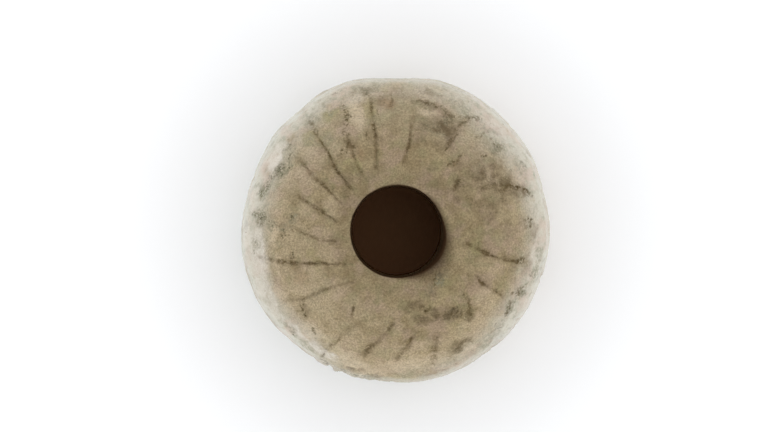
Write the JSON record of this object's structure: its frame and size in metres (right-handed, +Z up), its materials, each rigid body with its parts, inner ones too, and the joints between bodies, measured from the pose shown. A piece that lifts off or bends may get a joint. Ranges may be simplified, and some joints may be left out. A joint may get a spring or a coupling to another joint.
{
  "type": "spindle whorl",
  "caption": "Carved stone spindle whorl: a low domed disc with a spindle hole through its middle and slanting strokes cut into its upper face.",
  "frame": {"origin": "centre of the flat underside, on the axis of the spindle hole", "axes": "+Z up along the spindle hole, out of the domed face with the strokes"},
  "size_m": [0.0325, 0.032, 0.0135],
  "materials": {
    "stone": "matte"
  },
  "bodies": {
    "root": {"whorl": "stone"}
  },
  "joints": []
}
